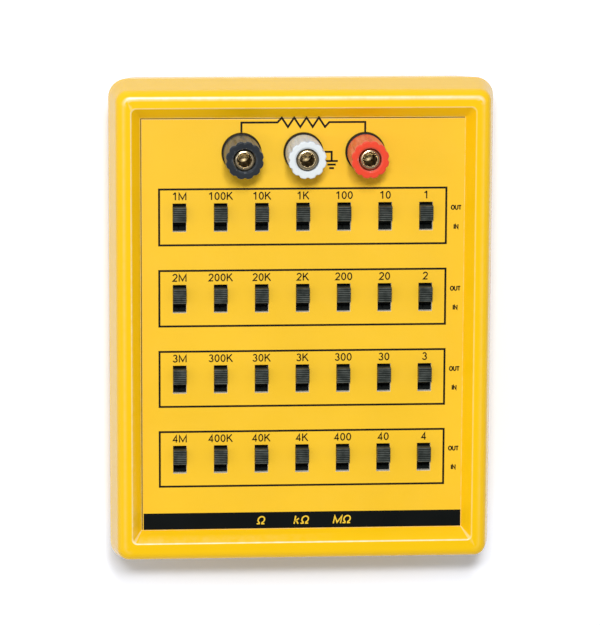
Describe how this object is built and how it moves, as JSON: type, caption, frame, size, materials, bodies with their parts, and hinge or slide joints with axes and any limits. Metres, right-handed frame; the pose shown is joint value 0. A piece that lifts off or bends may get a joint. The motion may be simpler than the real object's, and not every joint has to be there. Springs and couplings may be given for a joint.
{
  "type": "resistance decade box",
  "caption": "Hand-held resistance box: moulded two-part case, sunk panel with rows of slide switches, and binding posts with screw-down fluted caps and banana sockets.",
  "frame": {"origin": "on the table under the middle of the case", "axes": "+Z out of the panel, +Y along the case towards the binding posts, +X across the panel to the right"},
  "size_m": [0.1192, 0.1518, 0.058],
  "materials": {
    "case_yellow": "moulded ABS, smooth, slightly glossy",
    "overlay_yellow": "printed film, satin",
    "zinc_steel": "zinc plated",
    "foot_rubber": "moulded rubber, matt",
    "board_green": "glass-epoxy laminate with green solder mask",
    "frame_steel": "bright tinned steel sheet",
    "base_brown": "moulded phenolic",
    "terminal_tin": "tinned copper alloy",
    "resistor_blue": "epoxy coating",
    "washer_black": "moulded nylon",
    "post_nickel": "nickel-plated brass",
    "cap_black": "moulded plastic, satin",
    "cap_white": "moulded plastic, satin",
    "cap_red": "moulded plastic, satin",
    "lead_black": "PVC insulation",
    "lead_white": "PVC insulation",
    "lead_red": "PVC insulation",
    "lever_black": "moulded nylon, satin"
  },
  "bodies": {
    "case": {"front_cover": "case_yellow", "panel_overlay": "overlay_yellow", "rear_cover": "case_yellow", "case_screws": "zinc_steel", "rubber_feet": "foot_rubber", "circuit_board": "board_green", "board_screws": "zinc_steel", "switch_frames": "frame_steel", "switch_bases": "base_brown", "switch_terminals": "terminal_tin", "resistors": "resistor_blue", "resistor_leads": "terminal_tin", "post_front_washers": "washer_black", "post_rear_washers": "washer_black", "post_nuts": "post_nickel", "solder_lugs": "terminal_tin", "black_post_stud": "post_nickel", "black_lead": "lead_black", "white_post_stud": "post_nickel", "white_lead": "lead_white", "red_post_stud": "post_nickel", "red_lead": "lead_red"},
    "lever_1m": {"lever_1m": "lever_black"},
    "lever_100k": {"lever_100k": "lever_black"},
    "lever_10k": {"lever_10k": "lever_black"},
    "lever_1k": {"lever_1k": "lever_black"},
    "lever_100": {"lever_100": "lever_black"},
    "lever_10": {"lever_10": "lever_black"},
    "lever_1": {"lever_1": "lever_black"},
    "lever_2m": {"lever_2m": "lever_black"},
    "lever_200k": {"lever_200k": "lever_black"},
    "lever_20k": {"lever_20k": "lever_black"},
    "lever_2k": {"lever_2k": "lever_black"},
    "lever_200": {"lever_200": "lever_black"},
    "lever_20": {"lever_20": "lever_black"},
    "lever_2": {"lever_2": "lever_black"},
    "lever_3m": {"lever_3m": "lever_black"},
    "lever_300k": {"lever_300k": "lever_black"},
    "lever_30k": {"lever_30k": "lever_black"},
    "lever_3k": {"lever_3k": "lever_black"},
    "lever_300": {"lever_300": "lever_black"},
    "lever_30": {"lever_30": "lever_black"},
    "lever_3": {"lever_3": "lever_black"},
    "lever_4m": {"lever_4m": "lever_black"},
    "lever_400k": {"lever_400k": "lever_black"},
    "lever_40k": {"lever_40k": "lever_black"},
    "lever_4k": {"lever_4k": "lever_black"},
    "lever_400": {"lever_400": "lever_black"},
    "lever_40": {"lever_40": "lever_black"},
    "lever_4": {"lever_4": "lever_black"},
    "black_insert": {"black_post_insert": "post_nickel"},
    "black_cap": {"black_post_cap": "cap_black"},
    "white_insert": {"white_post_insert": "post_nickel"},
    "white_cap": {"white_post_cap": "cap_white"},
    "red_insert": {"red_post_insert": "post_nickel"},
    "red_cap": {"red_post_cap": "cap_red"}
  },
  "joints": [
    {"name": "slide_1m", "type": "slide", "parent": "case", "child": "lever_1m", "axis": [0, -1, 0], "range_m": [0, 0.0028]},
    {"name": "slide_100k", "type": "slide", "parent": "case", "child": "lever_100k", "axis": [0, -1, 0], "range_m": [0, 0.0028]},
    {"name": "slide_10k", "type": "slide", "parent": "case", "child": "lever_10k", "axis": [0, -1, 0], "range_m": [0, 0.0028]},
    {"name": "slide_1k", "type": "slide", "parent": "case", "child": "lever_1k", "axis": [0, -1, 0], "range_m": [0, 0.0028]},
    {"name": "slide_100", "type": "slide", "parent": "case", "child": "lever_100", "axis": [0, -1, 0], "range_m": [0, 0.0028]},
    {"name": "slide_10", "type": "slide", "parent": "case", "child": "lever_10", "axis": [0, -1, 0], "range_m": [0, 0.0028]},
    {"name": "slide_1", "type": "slide", "parent": "case", "child": "lever_1", "axis": [0, -1, 0], "range_m": [0, 0.0028]},
    {"name": "slide_2m", "type": "slide", "parent": "case", "child": "lever_2m", "axis": [0, -1, 0], "range_m": [0, 0.0028]},
    {"name": "slide_200k", "type": "slide", "parent": "case", "child": "lever_200k", "axis": [0, -1, 0], "range_m": [0, 0.0028]},
    {"name": "slide_20k", "type": "slide", "parent": "case", "child": "lever_20k", "axis": [0, -1, 0], "range_m": [0, 0.0028]},
    {"name": "slide_2k", "type": "slide", "parent": "case", "child": "lever_2k", "axis": [0, -1, 0], "range_m": [0, 0.0028]},
    {"name": "slide_200", "type": "slide", "parent": "case", "child": "lever_200", "axis": [0, -1, 0], "range_m": [0, 0.0028]},
    {"name": "slide_20", "type": "slide", "parent": "case", "child": "lever_20", "axis": [0, -1, 0], "range_m": [0, 0.0028]},
    {"name": "slide_2", "type": "slide", "parent": "case", "child": "lever_2", "axis": [0, -1, 0], "range_m": [0, 0.0028]},
    {"name": "slide_3m", "type": "slide", "parent": "case", "child": "lever_3m", "axis": [0, -1, 0], "range_m": [0, 0.0028]},
    {"name": "slide_300k", "type": "slide", "parent": "case", "child": "lever_300k", "axis": [0, -1, 0], "range_m": [0, 0.0028]},
    {"name": "slide_30k", "type": "slide", "parent": "case", "child": "lever_30k", "axis": [0, -1, 0], "range_m": [0, 0.0028]},
    {"name": "slide_3k", "type": "slide", "parent": "case", "child": "lever_3k", "axis": [0, -1, 0], "range_m": [0, 0.0028]},
    {"name": "slide_300", "type": "slide", "parent": "case", "child": "lever_300", "axis": [0, -1, 0], "range_m": [0, 0.0028]},
    {"name": "slide_30", "type": "slide", "parent": "case", "child": "lever_30", "axis": [0, -1, 0], "range_m": [0, 0.0028]},
    {"name": "slide_3", "type": "slide", "parent": "case", "child": "lever_3", "axis": [0, -1, 0], "range_m": [0, 0.0028]},
    {"name": "slide_4m", "type": "slide", "parent": "case", "child": "lever_4m", "axis": [0, -1, 0], "range_m": [0, 0.0028]},
    {"name": "slide_400k", "type": "slide", "parent": "case", "child": "lever_400k", "axis": [0, -1, 0], "range_m": [0, 0.0028]},
    {"name": "slide_40k", "type": "slide", "parent": "case", "child": "lever_40k", "axis": [0, -1, 0], "range_m": [0, 0.0028]},
    {"name": "slide_4k", "type": "slide", "parent": "case", "child": "lever_4k", "axis": [0, -1, 0], "range_m": [0, 0.0028]},
    {"name": "slide_400", "type": "slide", "parent": "case", "child": "lever_400", "axis": [0, -1, 0], "range_m": [0, 0.0028]},
    {"name": "slide_40", "type": "slide", "parent": "case", "child": "lever_40", "axis": [0, -1, 0], "range_m": [0, 0.0028]},
    {"name": "slide_4", "type": "slide", "parent": "case", "child": "lever_4", "axis": [0, -1, 0], "range_m": [0, 0.0028]},
    {"name": "black_cap_lift", "type": "slide", "parent": "case", "child": "black_insert", "axis": [0, 0, 1], "range_m": [0, 0.00453]},
    {"name": "black_cap_turn", "type": "hinge", "parent": "black_insert", "child": "black_cap", "pos_m": [-0.01905, 0.0541, 0.04], "axis": [0, 0, 1], "range_deg": [0, 1800]},
    {"name": "white_cap_lift", "type": "slide", "parent": "case", "child": "white_insert", "axis": [0, 0, 1], "range_m": [0, 0.00453]},
    {"name": "white_cap_turn", "type": "hinge", "parent": "white_insert", "child": "white_cap", "pos_m": [0, 0.0541, 0.04], "axis": [0, 0, 1], "range_deg": [0, 1800]},
    {"name": "red_cap_lift", "type": "slide", "parent": "case", "child": "red_insert", "axis": [0, 0, 1], "range_m": [0, 0.00453]},
    {"name": "red_cap_turn", "type": "hinge", "parent": "red_insert", "child": "red_cap", "pos_m": [0.01905, 0.0541, 0.04], "axis": [0, 0, 1], "range_deg": [0, 1800]}
  ],
  "couplings": [
    {"joint": "black_cap_turn", "follows": "black_cap_lift", "rad_per_m": 6927.4},
    {"joint": "white_cap_turn", "follows": "white_cap_lift", "rad_per_m": 6927.4},
    {"joint": "red_cap_turn", "follows": "red_cap_lift", "rad_per_m": 6927.4}
  ]
}
